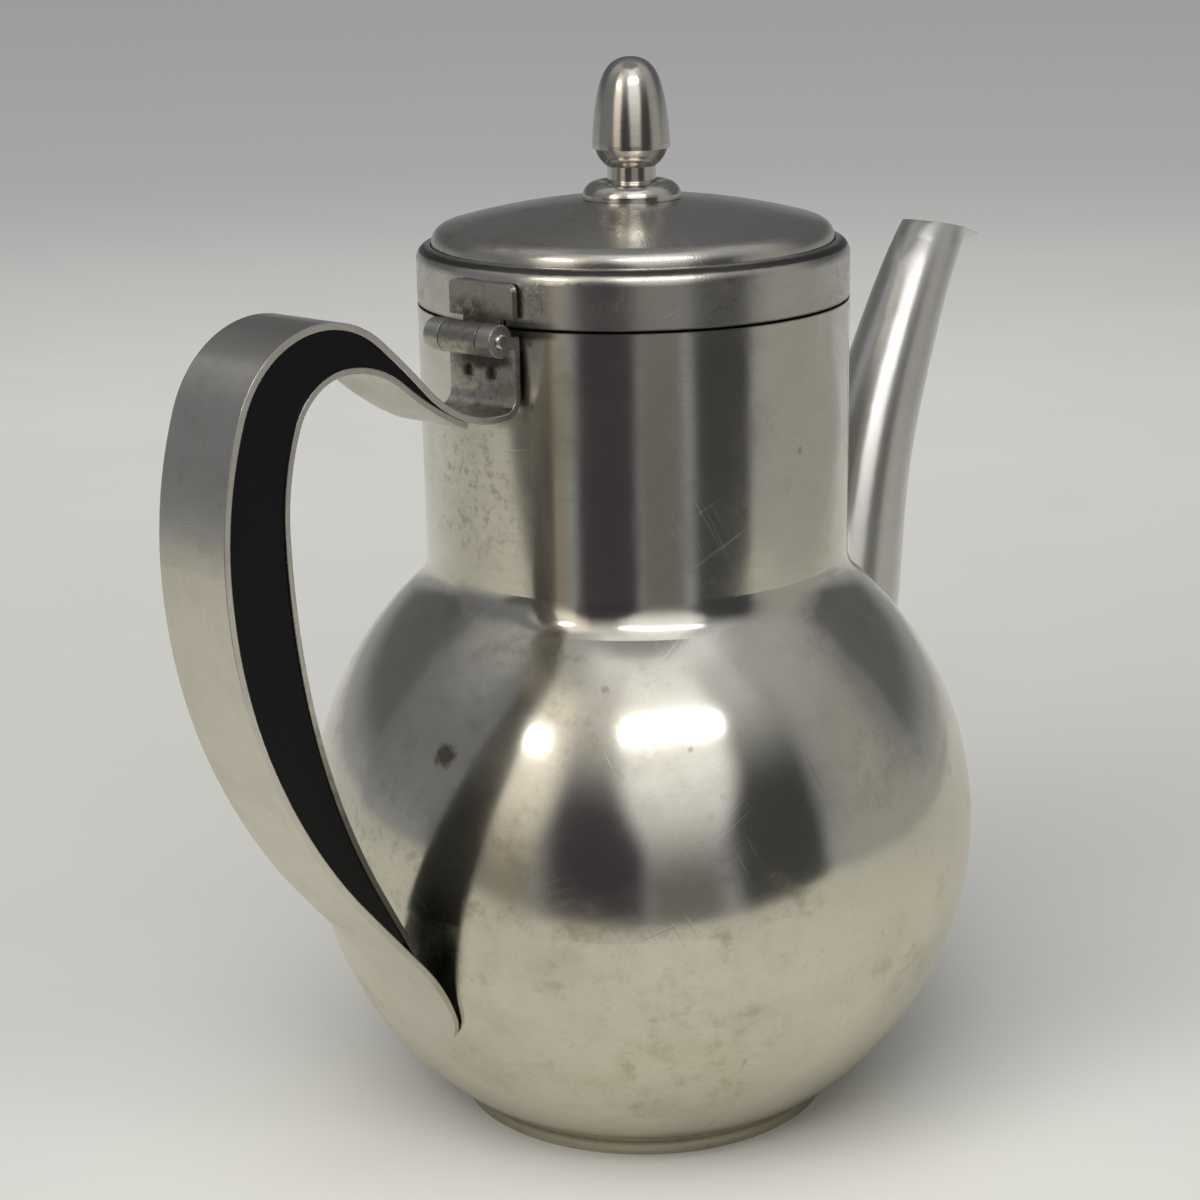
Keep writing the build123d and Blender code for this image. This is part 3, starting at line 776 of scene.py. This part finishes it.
@dataclass(frozen=True)
class Studio:
    """Table, room, lamps and camera.

    The camera stands where the outlines of the pot's parts fall on those in the photograph. Heights in
    the room are degrees above its middle, and bearings are degrees from the camera's side to its right.
    """

    eye: Triple = (-0.3555, -0.2983, 0.2331)
    right: Triple = (0.65058, -0.75922, -0.01849)
    up: Triple = (0.22262, 0.16737, 0.96043)
    ahead: Triple = (0.72608, 0.62895, -0.27790)
    lens: float = 75.37
    sensor: float = 36.0
    clip: tuple[float, float] = (0.01, 50.0)
    table_reach: float = 3.0
    table_front: float = 0.235
    table_right: float = 0.42
    table_fade: tuple[float, float] = (0.85, 1.5)
    table_gloss: float = 0.62
    table_shine: float = 0.25
    apron_lift: float = 0.0015
    room_radius: float = 0.85
    room_middle: Triple = (0.0, 0.0, 0.06)
    room_open_behind: float = -0.30
    room_open_above: float = 0.955
    room_open_below: float = -0.4
    table_tone: Triple = (0.64, 0.64, 0.625)
    table_in_steel: Triple = (0.67, 0.65, 0.565)
    table_edge_in_steel: Triple = (0.62, 0.605, 0.53)
    table_behind_in_steel: Triple = (0.80, 0.80, 0.76)
    # Painted light: how much paler the table is painted far behind the pot.
    table_far_light_share: float = 1.50
    table_mottle_share: float = 0.95
    table_mottle_cover: float = 0.25
    # Painted light: how much paler the table is painted just in front of the pot.
    table_front_light_share: float = 1.27
    wall: Triple = (0.205, 0.21, 0.22)
    wall_foot: Triple = (0.31, 0.31, 0.315)
    wall_right: Triple = (0.37, 0.365, 0.335)
    wall_behind: Triple = (0.19, 0.19, 0.19)
    wall_head: Triple = (0.44, 0.44, 0.43)
    wall_left_head: Triple = (0.50, 0.50, 0.48)
    ceiling: Triple = (1.02, 1.02, 1.0)
    backdrop_foot: Triple = (0.65, 0.65, 0.64)
    # where each tone begins, where it is reached, the tone
    backdrop: tuple[tuple[float, float, Triple], ...] = (
        (-0.20, -0.105, (0.385, 0.388, 0.385)),
        (-0.13, -0.02, (0.325, 0.33, 0.33)),
        (-0.04, 0.20, (0.130, 0.132, 0.135)),
        (0.45, 0.95, (0.26, 0.26, 0.26)),
    )
    lamp_tone: Triple = (1.0, 0.99, 0.96)
    # start, end, low, high, foot, head, soft, flare
    panels: tuple[Panel, ...] = (
        Panel(-74, -54, (0.10, 0.10, 0.09), (0.21, 0.215, 0.22), -4, 12, 3.0),
        Panel(-31, 0, (0.050, 0.043, 0.053), (0.74, 0.72, 0.68), 18, 54, 3.5),
        Panel(29, 60, (0.055, 0.056, 0.055), (0.60, 0.60, 0.58), 20, 58, 3.5),
        Panel(-52, -36, (0.27, 0.24, 0.185), (1.12, 1.04, 0.88), -8, 28, 3.0, 0.75),
        Panel(2, 23, (0.165, 0.16, 0.15), (1.10, 1.09, 1.04), -6, 36, 3.0, 1.05),
    )
    # name, around, above, far, size, power, only_fills
    lamps: tuple[Lamp, ...] = (
        Lamp("lamp_long", 13, 47, 0.782, (0.45, 0.070), 0.68),
        Lamp("lamp_short", -47, 38, 0.782, (0.17, 0.065), 0.27),
        Lamp("lamp_top", 150, 85, 1.5, (2.4, 2.4), 12.5, True),
        Lamp("lamp_front", -26, 54, 1.2, (0.9, 0.9), 10.0, True),
    )

    def bearing(self, around: float, above: float) -> Vector:
        """Return a direction from the pot.

        Args:
            around: Degrees from the camera's side, anticlockwise seen from above.
            above: Degrees above the horizon.

        Returns:
            A unit vector.
        """
        base = math.atan2(-self.ahead[1], -self.ahead[0]) + math.radians(around)
        flat = math.cos(math.radians(above))
        return Vector((math.cos(base) * flat, math.sin(base) * flat, math.sin(math.radians(above))))

    def camera(self) -> bpy.types.Object:
        """Place the camera at the photograph's viewing angle and return it."""
        data = bpy.data.cameras.new("camera")
        data.lens, data.sensor_width, data.sensor_fit = self.lens, self.sensor, "HORIZONTAL"
        data.clip_start, data.clip_end = self.clip
        camera = bpy.data.objects.new("camera", data)
        bpy.context.collection.objects.link(camera)
        back = -Vector(self.ahead)
        turn = Matrix((self.right, self.up, back)).transposed().to_4x4()
        camera.matrix_world = Matrix.Translation(self.eye) @ turn
        bpy.context.scene.camera = camera
        return camera

    def table(self) -> bpy.types.Object:
        """Lay the pale table, which fades into the backdrop at its far edge, and return it."""
        deselect()
        bpy.ops.mesh.primitive_circle_add(vertices=128, radius=self.table_reach, fill_type="NGON")
        table = bpy.context.object
        table.name = "table"
        made, bench = open_material("table_paint")
        at = bench.place()
        mottle = bench.noise(at, scale=9.0, detail=4.0)
        in_steel = bench.node("ShaderNodeLightPath", output="Is Glossy Ray")
        depth = bench.dot(at, -self.bearing(0, 0))
        # Painted light: the table is painted paler towards the back, where the lamps light it less.
        painted_far_light = scaled(self.table_tone, self.table_far_light_share)
        tone = bench.blend(depth.over(0.0, 0.8), self.table_tone, painted_far_light)
        mottled = scaled(self.table_tone, self.table_mottle_share)
        tone = bench.blend(mottle * self.table_mottle_cover, tone, mottled)
        away = bench.length(at)
        # Painted light: the table just in front of the pot is painted paler, over the ball's shadow.
        before = away.over(0.24, 0.03) * depth.over(0.04, -0.06)
        tone = bench.blend(before, tone, scaled(self.table_tone, self.table_front_light_share))
        seen = bench.blend(away.over(0.05, 0.24), self.table_in_steel, self.table_edge_in_steel)
        seen = bench.blend(depth.over(0.05, 0.40), seen, self.table_behind_in_steel)
        tone = bench.blend(in_steel, tone, seen)
        paint = {"Base Color": tone, "Roughness": self.table_gloss, "Specular IOR Level": self.table_shine}
        shader = bench.node("ShaderNodeBsdfPrincipled", None, paint)
        clear = bench.node("ShaderNodeBsdfTransparent")
        mixed = bench.node("ShaderNodeMixShader", None, {0: away.over(*self.table_fade), 1: shader, 2: clear})
        bench.node("ShaderNodeOutputMaterial", None, {"Surface": mixed})
        table.data.materials.append(made)
        return table

    def walls(self) -> bpy.types.Material:
        """Return the material of the room: plain walls with panels of light and shade."""
        made, bench = open_material("room_tone")
        at = bench.vector("NORMALIZE", bench.vector("SUBTRACT", bench.place(), self.room_middle))
        ahead, aside = bench.dot(at, self.bearing(0, 0)), bench.dot(at, self.bearing(90, 0))
        around = aside.math("ARCTAN2", ahead) * math.degrees(1.0)
        above = bench.upward(at).math("ARCSINE") * math.degrees(1.0)
        tone = bench.blend(above.over(10, -6), self.wall, self.wall_foot)
        tone = bench.blend(around.over(55, 75), tone, self.wall_right)
        tone = bench.blend(abs(around).over(85, 112) * above.over(-2, 14), tone, self.wall_behind)
        tone = bench.blend(above.over(26, 58), tone, self.wall_head)
        for panel in self.panels:
            own = bench.blend(above.over(panel.foot, panel.head), panel.low, panel.high)
            middle = (panel.start + panel.end) / 2
            spread = (around - middle) / (above.over(-4, 34) * panel.flare + 1.0) + middle
            tone = bench.blend(spread.band(panel.start, panel.end, panel.soft), tone, own)
        tone = bench.blend(above.over(50, 60) * around.band(-70, -30, 6.0), tone, self.wall_left_head)
        tone = bench.blend(above.over(56, 74) * abs(around - 15).over(70, 40), tone, self.ceiling)
        shader = bench.node("ShaderNodeEmission", None, {"Color": tone, "Strength": 1.0})
        bench.node("ShaderNodeOutputMaterial", None, {"Surface": shader})
        return made

    def apron(self, name: str, near: float, far: float, left: float, right: float) -> bpy.types.Object:
        """Lay a stretch of floor that shows the walls' tones, beyond the table's edge.

        Args:
            name: The stretch's name.
            near: Its nearer edge, in front of the pot's axis.
            far: Its farther edge.
            left: Its left end, counted to the right of the axis.
            right: Its right end.

        Returns:
            The stretch, which only the steel sees.
        """
        deselect()
        bpy.ops.mesh.primitive_plane_add(size=1.0)
        apron = bpy.context.object
        apron.name = name
        front, side, lift = self.bearing(0, 0), self.bearing(90, 0), Vector((0.0, 0.0, self.apron_lift))
        for vertex in apron.data.vertices:
            depth = near + (far - near) * (vertex.co.x + 0.5)
            breadth = left + (right - left) * (vertex.co.y + 0.5)
            vertex.co = front * depth + side * breadth + lift
        apron.data.materials.append(self.walls())
        hide_from_camera(apron)
        apron.visible_diffuse = False
        return apron

    def room(self) -> bpy.types.Object:
        """Raise the room round the camera's side, seen only in the steel, and return it."""
        deselect()
        bpy.ops.mesh.primitive_uv_sphere_add(segments=96, ring_count=48, radius=self.room_radius)
        room = bpy.context.object
        room.name = "room"
        front, middle = self.bearing(0, 0), Vector(self.room_middle)
        mesh = bmesh.new()
        mesh.from_mesh(room.data)
        open_faces = []
        for face in mesh.faces:
            way = face.calc_center_median().normalized()
            level = self.room_open_below <= way.z <= self.room_open_above
            if way.dot(front) < self.room_open_behind or not level:
                open_faces.append(face)
        bmesh.ops.delete(mesh, geom=open_faces, context="FACES")
        bmesh.ops.translate(mesh, verts=mesh.verts, vec=middle)
        mesh.to_mesh(room.data)
        mesh.free()
        room.data.materials.append(self.walls())
        hide_from_camera(room)
        return room

    def hang(self, lamp: Lamp) -> None:
        """Hang a lamp.

        Args:
            lamp: Its place, size and power.
        """
        data = bpy.data.lights.new(lamp.name, "AREA")
        data.shape, data.size, data.size_y = "RECTANGLE", *lamp.size
        data.energy, data.color = lamp.power, self.lamp_tone
        hung = bpy.data.objects.new(lamp.name, data)
        bpy.context.collection.objects.link(hung)
        way = self.bearing(lamp.around, lamp.above)
        hung.location = way * lamp.far + Vector(self.room_middle)
        hung.rotation_euler = way.to_track_quat("Z", "Y").to_euler()
        hung.visible_glossy = not lamp.only_fills

    def world(self) -> None:
        """Give the world a plain tone that darkens with height and is a little paler overhead."""
        world = bpy.data.worlds.new("studio")
        world.use_nodes = True
        bench = Bench(world.node_tree)
        above = bench.upward(bench.node("ShaderNodeTexCoord", output="Generated"))
        tone = self.backdrop_foot
        for low, high, higher_tone in self.backdrop:
            tone = bench.blend(above.over(low, high), tone, higher_tone)
        shader = bench.node("ShaderNodeBackground", None, {"Color": tone, "Strength": 1.0})
        bench.node("ShaderNodeOutputWorld", None, {"Surface": shader})
        bpy.context.scene.world = world

    def build(self) -> None:
        """Set up the whole studio."""
        self.world()
        wide = self.room_radius
        front = self.apron("apron_front", self.table_front, wide, -wide, wide)
        side = self.apron("apron_side", -0.5, self.table_front, self.table_right, wide)
        self.table()
        self.room()
        for lamp in self.lamps:
            self.hang(lamp)
        self.camera()
        bpy.context.scene.view_settings.view_transform = "Standard"


# ---------------------------------------------------------------- helpers


def deselect() -> None:
    """Deselect everything, because operators act on all that is selected."""
    if bpy.context.object is not None and bpy.context.object.mode != "OBJECT":
        bpy.ops.object.mode_set(mode="OBJECT")
    bpy.ops.object.select_all(action="DESELECT")


def hide_from_camera(thing: bpy.types.Object) -> None:
    """Let the steel see a thing that the camera doesn't."""
    thing.visible_camera = False
    thing.visible_shadow = False


def main() -> None:
    """Dress the pot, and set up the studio."""
    logging.basicConfig(level=logging.INFO, format="%(message)s")
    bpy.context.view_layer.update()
    for assembly in (Pot(), Handle(), Hinge(), Spout(), Lid(), Finial()):
        for node in assembly.dress():
            log.info("finished %s of %s", node, type(assembly).__name__)
    Studio().build()


if __name__ == "__main__":
    main()
